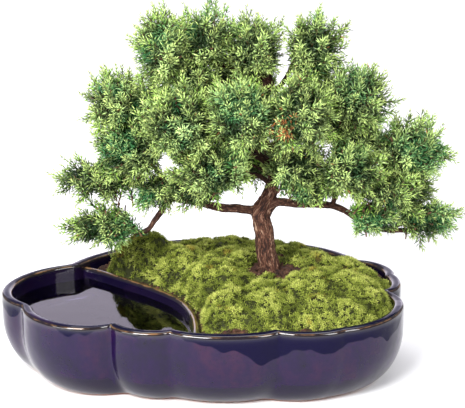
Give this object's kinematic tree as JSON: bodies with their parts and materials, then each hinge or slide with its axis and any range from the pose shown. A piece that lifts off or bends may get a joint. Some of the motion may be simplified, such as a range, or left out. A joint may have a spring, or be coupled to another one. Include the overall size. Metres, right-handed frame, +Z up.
{
  "type": "bonsai tree in a water-and-land tray",
  "caption": "Juniper bonsai with trained limbs and needle pads, growing from mossed soil in a lobed, glazed oval tray whose curved divider fences off a small pool.",
  "frame": {"origin": "centre of the tray's underside, on the resting face of the rib that crosses the foot recess", "axes": "+Z up, +X along the tray's length with the pool at -X, -Y towards the viewer's side"},
  "size_m": [0.3456, 0.2166, 0.2712],
  "materials": {
    "blue_glaze": "glossy cobalt-blue glaze over stoneware, brown where it breaks thin on the rim",
    "pool_water": "still clear water over dark glaze",
    "soil": "damp crumbly potting soil",
    "netting": "black moulded netting",
    "bark": "red-brown fibrous juniper bark",
    "needles": "dense awl-shaped juniper needles, blue-green to yellow-green at the tips",
    "moss": "soft cushion moss, bright yellow-green on top and dark between tufts"
  },
  "bodies": {
    "root": {"drain_mesh_1": "netting", "drain_mesh_2": "netting", "foliage_apex_left": "needles", "foliage_apex_middle": "needles", "foliage_apex_right": "needles", "foliage_back_left": "needles", "foliage_back_low": "needles", "foliage_back_middle": "needles", "foliage_back_right": "needles", "foliage_front_left": "needles", "foliage_front_low": "needles", "foliage_front_middle": "needles", "foliage_front_right": "needles", "foliage_left_hanging": "needles", "foliage_left_inner": "needles", "foliage_left_low": "needles", "foliage_left_tip": "needles", "foliage_right_inner": "needles", "foliage_right_low": "needles", "foliage_right_middle": "needles", "foliage_right_tip": "needles", "foliage_shoulder_left": "needles", "foliage_shoulder_right": "needles", "foliage_under_right": "needles", "foliage_upper_left": "needles", "moss_back_corner": "moss", "moss_back_edge": "moss", "moss_back_left": "moss", "moss_back_middle": "moss", "moss_back_right": "moss", "moss_front_corner": "moss", "moss_front_left": "moss", "moss_front_middle": "moss", "moss_front_right": "moss", "moss_left": "moss", "moss_middle": "moss", "moss_right": "moss", "moss_right_corner": "moss", "moss_trunk_front": "moss", "pool_water": "pool_water", "soil": "soil", "tray": "blue_glaze", "trunk_and_limbs": "bark"}
  },
  "joints": []
}
